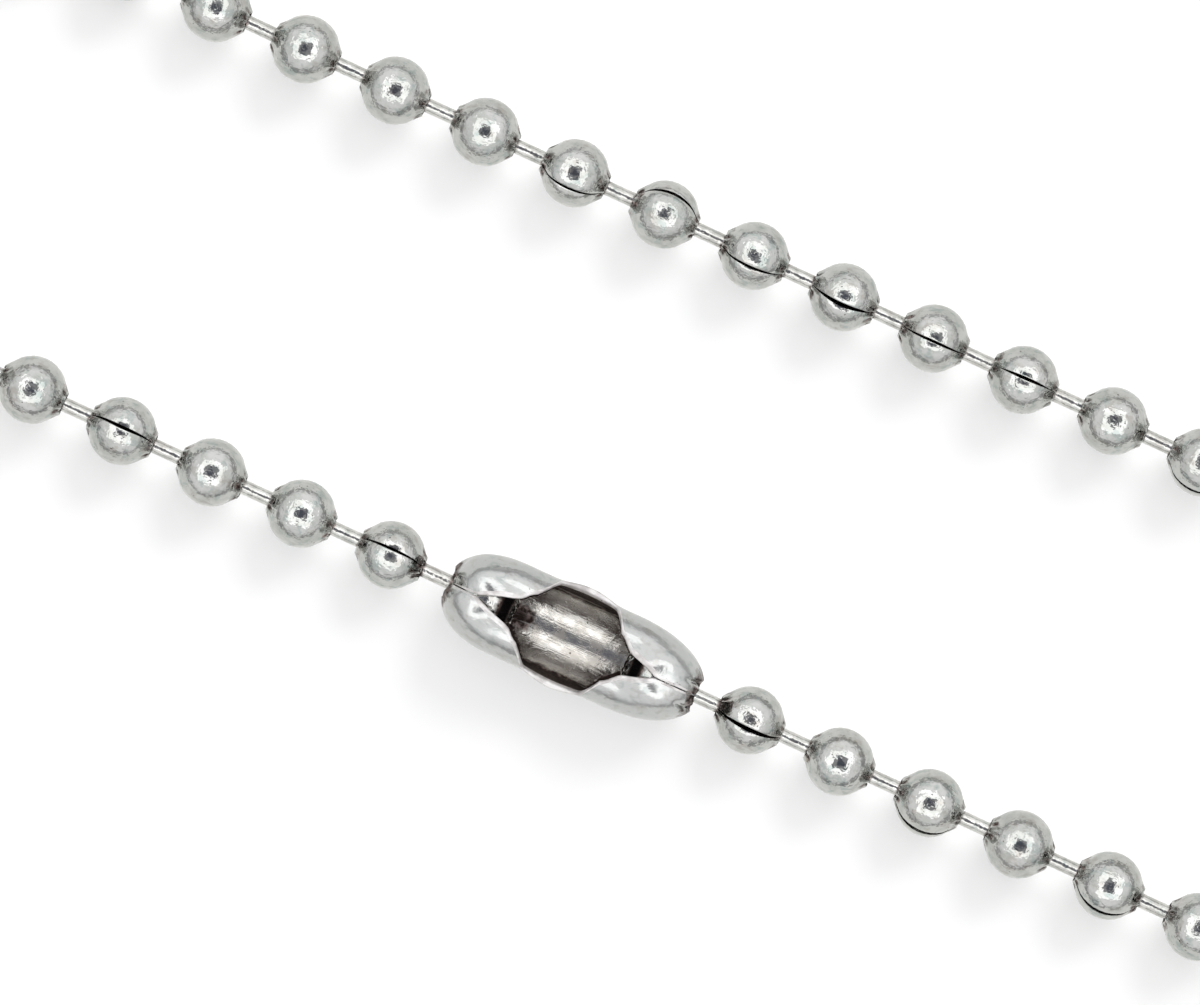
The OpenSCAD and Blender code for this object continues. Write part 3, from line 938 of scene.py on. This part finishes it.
def plain_section(facing):
    """The same for a round tube without rolls."""
    return round_section(CLASP_RADIUS, BOTTOM + (facing - BOTTOM) * (TOP - BOTTOM) / (ROLL_END - BOTTOM))


# %% Clasp mouth
# (along in mm, direction faced by the sheet's edge there, in degrees above level)
MOUTH = np.array([
    (-5.0, 146), (-4.4, 126), (-3.74, 106), (-2.8, 84), (-2.34, 58), (-1.87, 40),
    (-1.6, 24), (-1.4, 12), (-0.8, 5), (0, 3), (0.8, 5), (1.35, 12), (1.55, 23),
    (1.87, 44), (2.34, 70), (2.8, 95), (3.5, 114), (4.1, 131), (4.5, 146)], float)


def smooth_between(at, rows):
    """A curve through the rows that never overshoots them, from slopes at the rows."""
    places, values = rows.T
    gaps, rises = np.diff(places), np.diff(values)
    steep = rises / gaps
    same_way = steep[1:] * steep[:-1] > 0
    shared = np.where(same_way, 2 / (1 / np.where(same_way, steep[1:], 1)
                                     + 1 / np.where(same_way, steep[:-1], 1)), 0)
    slopes = np.concatenate([[0], shared, [0]])
    row = np.clip(np.searchsorted(places, at) - 1, 0, len(gaps) - 1)
    share = np.clip((at - places[row]) / gaps[row], 0, 1)
    return (values[row] * (1 + 2 * share) * (1 - share) ** 2
            + values[row + 1] * share**2 * (3 - 2 * share)
            + gaps[row] * (slopes[row] * share * (1 - share) ** 2
                           - slopes[row + 1] * share**2 * (1 - share)))


def edge_facing(along):
    return np.minimum(ROLL_END, smooth_between(along, MOUTH))


print("the mouth is", MOUTH[-1][0] - MOUTH[0][0], "mm long, with the roll from",
      round(roll_start, 1), "degrees")

# %% Clasp ends
# Each end: where its tip is, the length that is rounded, how blunt it is from above and from
# the side, how fast the rolls fade, how much of them is left at the tip, and how far the
# dirt reaches from it.
ENDS = {
    -1: {"tip": 6.2, "rounded": 3.1, "blunt": 2.5, "side_blunt": 2.6, "fade": 1.5, "roll": 0.4,
         "dirt_and_shade": 0.5},
    1: {"tip": 6.42, "rounded": 3.6, "blunt": 2.2, "side_blunt": 2.6, "fade": 1.0, "roll": 0.15,
        "dirt_and_shade": 0.95}}
END_HOLE = 0.84
HELD_DROP = 0.3
DROP_POWER = 2.5
FLARE = 0.2
FLARE_HALF = 1.8
FLARE_FROM = -60.0
FLARE_CURL = 3.5

held_x = float(np.linalg.norm(bead_places[0] - mouth_middle)) / MM
held_rise = float(bead_places[0][2] - bead["ball"]) / MM
hole_drop = HELD_DROP + held_rise * (ENDS[1]["tip"] - held_x) / (2 * pitch / MM - held_x)


def by_end(along, title):
    """The value of the end that each place is nearer to."""
    return np.where(along < 0, ENDS[-1][title], ENDS[1][title])


def rounding_start(along):
    return by_end(along, "tip") - by_end(along, "rounded")


def oval_length(along):
    blunt = by_end(along, "blunt")
    return by_end(along, "rounded") / (1 - (END_HOLE / CLASP_RADIUS) ** blunt) ** (1 / blunt)


def rounding(along):
    """Share of the rounding that is past, which would be 1 where the oval closes."""
    return np.clip((abs(along) - rounding_start(along)) / oval_length(along), 0, 1)


def girth(along, title):
    """Share of the full girth that is left where the end closes."""
    blunt = by_end(along, title)
    return (1 - rounding(along) ** blunt) ** (1 / blunt)


def flared(along, facing):
    """How far the mouth's sides bend outwards, in mm."""
    inside_flare = (abs(along) < FLARE_HALF) & (facing > FLARE_FROM)
    lean = np.cos(np.radians(90 * along / FLARE_HALF)) ** 2
    risen = np.clip((facing - FLARE_FROM) / -FLARE_FROM, 0, None)
    return np.where(inside_flare, FLARE * lean * risen**FLARE_CURL, 0)


print("end holes lie", round(hole_drop, 3), "mm below the clasp's middle line")

# %% [markdown]
# ## The roof over a held bead
# Near the mouth the sheet isn't rolled over yet. It leans up to the V-shaped edge like a roof,
# and it sags a little towards the mouth, so that the roof is highest over the middle of the
# held bead. That decides what it mirrors: a level crest shows the dim hole of the softbox and
# the lens in it, while a leaning roof shows the bright panel beside them, and the tent.

# %% Clasp roof
ROOF_TOP = 5.05
ROOF_BLEND = 1.7
LEAN_FROM = 72.0
LEAN_UP = 0.42
ROOF_SAG = 0.40
SAG_FACING = (-15.0, 74.0)


def roofed_section(along, facing):
    """The rolled section, with its top turned into a leaning roof near the mouth."""
    section = rolled_section(facing)
    past = ROOF_TOP - abs(along)
    start = rolled_section(np.array(LEAN_FROM))
    leaned = start[1] + (start[0] - section[..., 0]) * LEAN_UP
    roof = np.where(facing > LEAN_FROM, leaned, section[..., 1])
    roof = roof - ROOF_SAG * smooth_step(facing, *SAG_FACING)
    height = section[..., 1] + smooth_step(past, 0, ROOF_BLEND) * (roof - section[..., 1])
    return np.stack([section[..., 0], height], axis=-1)


# %% Clasp grid
SIDE_FACING = -20.0
SIDE_SHARE = 0.4
CLASP_COLUMNS = 150
CLASP_STEP = 0.075
TIP_STEPS = 26
SHEARED = 0.1
SHEARED_HALF = 1.9
BURR = 0.5


def clasp_places():
    """Places along the clasp: even steps along the mouth, closer ones towards each tip."""
    between = np.arange(MOUTH[0][0], MOUTH[-1][0], CLASP_STEP)
    tips = []
    for sign, start in ((-1, MOUTH[0][0]), (1, MOUTH[-1][0])):
        blunt = ENDS[sign]["blunt"]
        turns = [math.asin(float(rounding(np.array(at))) ** (blunt / 2))
                 for at in (start, sign * ENDS[sign]["tip"])]
        turned = np.linspace(*turns, TIP_STEPS + 1)
        tips.append(sign * (rounding_start(sign) + oval_length(sign) * np.sin(turned) ** (2 / blunt)))
    return np.concatenate([tips[0][:0:-1], between, tips[1]])


def outside_point(along, up, flare_share=1.0):
    """Outside of the clasp where up goes from -1 at one edge of the sheet to 1 at the other."""
    share = abs(up)
    low = BOTTOM + (SIDE_FACING - BOTTOM) * share / SIDE_SHARE
    high = SIDE_FACING + (edge_facing(along) - SIDE_FACING) * (share - SIDE_SHARE) / (1 - SIDE_SHARE)
    facing = np.where(share < SIDE_SHARE, low, high)
    kept = (1 - (1 - by_end(along, "roll")) * rounding(along) ** by_end(along, "fade"))[..., None]
    section = kept * roofed_section(along, facing) + (1 - kept) * plain_section(facing)
    width = girth(along, "blunt") * section[..., 0] + flare_share * flared(along, facing)
    across = np.sign(up) * np.maximum(width, SEAM_WIDTH / 2)
    height = girth(along, "side_blunt") * section[..., 1] - hole_drop * rounding(along) ** DROP_POWER
    return np.stack([along, across, height], axis=-1)


def outward(grid):
    """Direction square to the sheet at each point of a grid."""
    run = np.gradient(grid, axis=0)
    round_it = np.gradient(grid, axis=1)
    return unit(np.cross(run, round_it))


along, up = np.meshgrid(clasp_places(), np.linspace(1, -1, CLASP_COLUMNS + 1), indexing="ij")
clasp_outer = outside_point(along, up)
at_mouth = np.exp(-(along / SHEARED_HALF) ** 4)
set_back = outside_point(along, up * (1 - SHEARED * at_mouth), 1 - BURR)
clasp_inner = set_back - CLASP_WALL * outward(set_back)
print("clasp grid:", clasp_outer.shape[:2], "points on each skin")

# %% [markdown]
# ## Edges, notches and nicks of the clasp
# A blanked edge isn't a knife cut: its corners are rounded, and they catch a bright line of
# light all round the mouth. Three narrow columns on each skin round it off, and they lean out
# far enough for that line to show from above. The tips show how the clasp was closed: the
# press left a notch above the left hole and nicks beside the right one. Bell-shaped pushes on
# the grid points near each tip make them.

# %% Clasp edges and tips
# (share of the wall's thickness, share of the reach), from the middle of the cut edge out
EDGE_SHARES = [(0.42, 1.0), (0.25, 0.8), (0.1, 0.42)]
EDGE_REACH = 0.14
NOTCH_LENGTH = 1.1
TIP_TOP = (0.1, 0.6)
# (end, across, width of the nick, how far it goes in), in mm
NICKS = [(-1, 0.14, 0.30, 0.26), (-1, 0.90, 0.50, 0.15), (1, 0.56, 0.13, 0.26),
         (1, -0.68, 0.15, 0.30), (1, -0.1, 0.3, 0.06)]
RIM_WAVE = 0.03
RIM_WAVES = 5


def with_rounded_edge(skin, other):
    """Adds the columns that round off the two long edges of a skin towards the other skin."""
    edges = []
    for edge, next_in in ((0, 1), (-1, -2)):
        past_edge = unit(skin[:, edge] - skin[:, next_in])
        edges.append([
            skin[:, edge] + (other[:, edge] - skin[:, edge]) * share + past_edge * EDGE_REACH * push
            for share, push in EDGE_SHARES])
    return np.stack(edges[0] + list(np.moveaxis(skin, 1, 0)) + edges[1][::-1], axis=1)


def nicked(grid):
    """Pushes the top of each tip back where the press notched it."""
    grid = grid.copy()
    x, y, z = np.moveaxis(grid, -1, 0)
    to_tip = smooth_step(abs(x), by_end(x, "tip") - NOTCH_LENGTH, by_end(x, "tip"))
    on_top = smooth_step(z + hole_drop, *TIP_TOP)
    push = RIM_WAVE * np.sin(RIM_WAVES * np.arctan2(z + hole_drop, y) + x)
    for end, across, width, depth in NICKS:
        push = push + (np.sign(x) == end) * depth * on_top * np.exp(-((y - across) / width) ** 2)
    grid[..., 0] = x - np.sign(x) * push * to_tip
    return grid


def kept_apart(grid):
    """Keeps both sides of the seam on their own side of it."""
    side = np.sign(np.linspace(1, -1, grid.shape[1]).round(6))[None, :]
    grid[..., 1] = side * np.maximum(side * grid[..., 1], np.where(side == 0, 0, SEAM_WIDTH / 2))
    return grid


outer_skin = kept_apart(nicked(with_rounded_edge(clasp_outer, clasp_inner)))
inner_skin = kept_apart(nicked(with_rounded_edge(clasp_inner, clasp_outer)))
print("columns with the rounded edges:", outer_skin.shape[1])

# %% [markdown]
# ## Where the clasp is dirty, where shade is painted on it, and which finish goes where
# Outside, dirt sits only on the crimped tips, and on more of the right one. Inside, shade is
# painted up the lower wall, where both walls stand upright, close under the mouth's edge and
# deep in the ends, and there are three darker patches, the darkest of them left of the middle.
# The value is worked out from each point's place. The grid also knows which faces are outside,
# which are inside, and which run along the cut edge, so each gets its own finish.

# %% Clasp dirt and painted shade
TIP_DIRT = 0.75
TIP_DIRT_FROM = 0.05
# Painted shade inside the clasp: up the lower wall, on the upright walls, under the mouth's edge and deep
# in the ends.
LOWER_WALL_SHADE = 0.5
LOWER_WALL = (1.2, 2.1)
UPRIGHT_WALL = (1.5, 1.95)
UNDER_EDGE = (0.22, 0.09)
DEEP_SHADE = (2.7, 3.2)
# Darker patches inside the clasp.
# (along, across, length, width, strength)
DARK_PATCHES = [(-2.5, -0.1, 0.9, 0.8, 1.0), (-1.2, 0.9, 0.5, 0.4, 0.2), (1.9, -0.9, 0.6, 0.4, 0.2)]
EDGE_DIRT = 0.05
BARE_OUTSIDE = 5
BARE_INSIDE = 4

outer_x, outer_y = outer_skin[..., 0], outer_skin[..., 1]
inner_x, inner_y = inner_skin[..., 0], inner_skin[..., 1]
tip_gap = by_end(outer_x, "tip") - abs(outer_x)
crimp_outside = TIP_DIRT * (1 - smooth_step(tip_gap, TIP_DIRT_FROM, by_end(outer_x, "dirt_and_shade")))
under_edge = [abs(outer_y[:, :1]) - gap for gap in UNDER_EDGE]
shade_and_patches_inside = np.maximum.reduce([
    LOWER_WALL_SHADE * smooth_step(-inner_y, *LOWER_WALL),
    smooth_step(abs(inner_y), *UPRIGHT_WALL),
    smooth_step(abs(inner_y), *under_edge),
    smooth_step(abs(inner_x), *DEEP_SHADE)])
for at_x, at_y, length, width, strength in DARK_PATCHES:
    shade_and_patches_inside = shade_and_patches_inside + strength * np.exp(
        -((inner_x - at_x) / length) ** 2 - ((inner_y - at_y) / width) ** 2)
shade_and_patches_inside = np.clip(shade_and_patches_inside, 0, 1)
for edge_columns in (slice(None, BARE_INSIDE + 1), slice(-1 - BARE_INSIDE, None)):
    shade_and_patches_inside[:, edge_columns] = EDGE_DIRT
print("dirty share inside:", round(float((shade_and_patches_inside > 0.5).mean()), 2))

# %% Clasp finish
OUTSIDE, INSIDE, BARE_EDGE = 0, 1, 2


def finish_numbers(rows, columns):
    """Number of the finish of each of the sheet's faces, as in the clasp's list of finishes."""
    column = np.tile(np.arange(columns - 1), rows - 1)
    from_edge = np.minimum(column, columns - 2 - column)
    return np.concatenate([
        np.where(from_edge < BARE_OUTSIDE, BARE_EDGE, OUTSIDE),
        np.where(from_edge < BARE_INSIDE, BARE_EDGE, INSIDE),
        np.full(2 * (rows - 1), BARE_EDGE),
        np.full(2 * (columns - 1), OUTSIDE)])


clasp_at = np.array([mouth_middle[0], mouth_middle[1], CLASP_RADIUS * MM])
clasp_mesh = sheet_mesh("clasp_folded", clasp_at + outer_skin * MM, clasp_at + inner_skin * MM,
                        (crimp_outside, shade_and_patches_inside))
for finish in clasp_finishes:
    clasp_mesh.materials.append(finish)
clasp_mesh.polygons.foreach_set("material_index", finish_numbers(*outer_skin.shape[:2]).astype(np.int32))
clasp = bpy.data.objects.new("clasp_folded", clasp_mesh)
bpy.context.scene.collection.objects.link(clasp)
print("clasp_folded has", len(clasp_mesh.polygons) * 2, "triangles")

# %% [markdown]
# ## Riding on the frame
# Each new piece rides on the CAD body, and the CAD node whose place it takes is hidden.

# %% Riding
for piece in bead_runs:
    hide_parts("beads")
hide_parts("pins")
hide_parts("clasp")
for piece in bead_runs + [headed_pins, clasp]:
    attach(piece, BODY)
print("pieces on the frame:", len(bead_runs) + 2)

# %% [markdown]
# ## Floor
# The chain lies on a wide sheet of plain white paper. It is so evenly lit that only the soft
# shadows of the beads show on it. The photo is exposed a little past white there, so what the
# metal mirrors is dimmer than what the lens shows: to glossy rays the paper is an even glow.

# %% Floor
FLOOR_HALF = 3.0
FLOOR_GAP = 0.02 * MM
PAPER = (0.80, 0.80, 0.80, 1.0)
PAPER_ROUGHNESS = 0.9
PAPER_SHEEN = 0.1
MIRRORED_PAPER = (0.93, 0.93, 0.91, 1.0)


def flat_sheet(name, half, height, color):
    """A square sheet whose finish looks like an even glow to glossy rays."""
    mesh = bpy.data.meshes.new(name)
    corners = [(-half, -half, height), (half, -half, height), (half, half, height), (-half, half, height)]
    mesh.from_pydata(corners, [], [(0, 1, 2, 3)])
    paper = bpy.data.materials.new(name)
    paper.use_nodes = True
    tree = paper.node_tree
    shader, result = tree.nodes["Principled BSDF"], tree.nodes["Material Output"]
    shader.inputs["Base Color"].default_value = color
    shader.inputs["Roughness"].default_value = PAPER_ROUGHNESS
    shader.inputs["Specular IOR Level"].default_value = PAPER_SHEEN
    mirrored = put(tree, "ShaderNodeLightPath").outputs["Is Glossy Ray"]
    glow = put(tree, "ShaderNodeEmission", {"Color": MIRRORED_PAPER}).outputs[0]
    both = put(tree, "ShaderNodeMixShader", {0: mirrored, 1: shader.outputs[0], 2: glow})
    tree.links.new(both.outputs[0], result.inputs["Surface"])
    mesh.materials.append(paper)
    sheet = bpy.data.objects.new(name, mesh)
    bpy.context.scene.collection.objects.link(sheet)
    return sheet


floor = flat_sheet("paper_floor", FLOOR_HALF, -FLOOR_GAP, PAPER)
print("paper floor:", 2 * FLOOR_HALF, "m wide")

# %% [markdown]
# ## Light
# Metal shows what is around it, so its light is a picture of a small studio. Overhead hangs a
# square softbox in a dim frame, with a dimmer hole in it for the lens, which is round and
# dark. Round them stands a white tent that is darkest near the table. That surround is written
# in the world as a function of direction, and only reflections see it. The paper is lit by
# three suns that metal doesn't show: a low soft one whose shadows fall on one side, a very
# wide one from above that darkens the paper only close to the beads, and a fill without
# shadows. Together they leave the paper just past white, as in the photo.

# %% Studio surround
# (half width in degrees from straight up, light) of each square, from the outer one in
SQUARES = [
    (46, (0.9, 0.9, 0.9, 1.0)), (42, (1.85, 1.85, 1.85, 1.0)), (21.5, (0.36, 0.36, 0.375, 1.0))]
SQUARE_SOFT = 0.03
SQUARE_TURN = math.radians(-8)
LENS_HALF = (7, 16)
LENS_LIGHT = (0.115, 0.12, 0.15, 1.0)
# (height above the table as a sine, light there)
TENT = [(0.0, 0.38), (0.10, 0.45), (0.25, 0.94), (0.42, 1.12), (0.65, 1.12), (1.0, 1.12)]
TENT_SCALE = 2.0
BRIGHT_SIDE = 0.08
DIM_ENDS = -0.14
BARELY_UP = 0.01
WHITE = (1.0, 1.0, 1.0, 1.0)


def tent_light(tree, x, y, z):
    """The tent's light: by height, then brighter to one side and dimmer towards both ends."""
    heights = put(tree, "ShaderNodeValToRGB", {0: z})
    points = heights.color_ramp.elements
    for at, light in TENT[1:-1]:
        points.new(at)
    for point, (at, light) in zip(points, TENT):
        point.position = at
        point.color = [light / TENT_SCALE] * 3 + [1.0]
    lopsided = reckon(tree, "MULTIPLY_ADD", y, BRIGHT_SIDE, 1.0)
    lopsided = reckon(tree, "MULTIPLY_ADD", reckon(tree, "MULTIPLY", x, x), DIM_ENDS, lopsided)
    light = reckon(tree, "MULTIPLY", reckon(tree, "MULTIPLY", heights.outputs[0], TENT_SCALE), lopsided)
    return put(tree, "ShaderNodeCombineXYZ", {"X": light, "Y": light, "Z": light}).outputs[0]


def studio_surround():
    """A world that only reflections see: tent, squares and lens, one over the other."""
    world = bpy.data.worlds.new("studio_surround")
    bpy.context.scene.world = world
    world.use_nodes = True
    tree = world.node_tree
    looks = put(tree, "ShaderNodeTexCoord").outputs["Generated"]
    turned = put(tree, "ShaderNodeVectorRotate", {"Vector": looks, "Angle": SQUARE_TURN},
                 rotation_type="Z_AXIS")
    x, y, z = put(tree, "ShaderNodeSeparateXYZ", {0: turned.outputs[0]}).outputs
    above = reckon(tree, "MAXIMUM", z, BARELY_UP)
    from_middle = reckon(tree, "MAXIMUM",
                         reckon(tree, "ABSOLUTE", reckon(tree, "DIVIDE", x, above)),
                         reckon(tree, "ABSOLUTE", reckon(tree, "DIVIDE", y, above)))
    light = tent_light(tree, x, y, z)
    for degrees, square_light in SQUARES:
        half = math.tan(math.radians(degrees))
        in_square = ramp(tree, from_middle, half - SQUARE_SOFT, half + SQUARE_SOFT, 1.0, 0.0)
        light = mixed(tree, in_square, light, square_light)
    in_lens = ramp(tree, z, *(math.cos(math.radians(half)) for half in reversed(LENS_HALF)))
    light = mixed(tree, in_lens, light, LENS_LIGHT)
    light = mixed(tree, put(tree, "ShaderNodeLightPath").outputs["Is Camera Ray"], light, WHITE)
    tree.links.new(light, tree.nodes["Background"].inputs["Color"])
    world.cycles_visibility.diffuse = False


studio_surround()
print("frame, softbox and hole, as degrees from straight up:", [degrees for degrees, _ in SQUARES])

# %% Suns
# name, where it stands, light on the paper, width in degrees, and whether it casts shadows
SUNS = [
    ("key", (0.63, 2.84, 1.6), 0.21, 38, True),
    ("top", (0.1, 0.6, 1.0), 0.32, 110, True),
    ("fill", (0.0, 0.0, 1.0), 0.51, 5, False)]


def sun(name, stands, light_on_paper, wide, shadows):
    """A sun that metal doesn't show. A wide one lights level paper less, by its mean slant."""
    towards = Vector(stands).normalized()
    slant = towards.z * (1 + math.cos(math.radians(wide / 2))) / 2
    light = bpy.data.lights.new(f"{name}_sun", "SUN")
    light.energy = light_on_paper * math.pi / PAPER[0] / slant
    light.angle = math.radians(wide)
    light.use_shadow = shadows
    lamp = bpy.data.objects.new(f"{name}_sun", light)
    lamp.rotation_mode = "QUATERNION"
    lamp.rotation_quaternion = towards.to_track_quat("Z", "Y")
    lamp.visible_glossy = False
    bpy.context.scene.collection.objects.link(lamp)


for row in SUNS:
    sun(*row)
print("light on the paper:", round(sum(row[2] for row in SUNS), 2))

# %% [markdown]
# ## Camera
# The photograph looks straight down through a long lens, and the chain runs down to the right
# across it. One bead's width in it gives its scale. Its middle lies beside the near strand,
# which puts the clasp's mouth a little left of and below it.

# %% Camera
PHOTO_WIDTH = 1200
PIXELS_PER_MM = 21.56
CHAIN_ANGLE = math.radians(24.74)
PHOTO_MIDDLE = (-1.55 * MM, -3.115 * MM)
SENSOR = 36.0
LENS = 200.0
CLIP = (0.01, 10)


def photo_camera():
    """A long lens straight above, as high as the photo's scale asks."""
    data = bpy.data.cameras.new("photo_camera")
    data.sensor_width, data.lens = SENSOR, LENS
    width = PHOTO_WIDTH / PIXELS_PER_MM * MM
    camera = bpy.data.objects.new("photo_camera", data)
    camera.location = (*PHOTO_MIDDLE, bead["ball"] + width * LENS / SENSOR)
    camera.rotation_euler = (0, 0, CHAIN_ANGLE)
    data.clip_start, data.clip_end = CLIP
    bpy.context.scene.collection.objects.link(camera)
    bpy.context.scene.camera = camera
    return camera


print("camera height in mm:", round(photo_camera().location.z / MM, 1))
bpy.context.scene.view_settings.view_transform = "Standard"
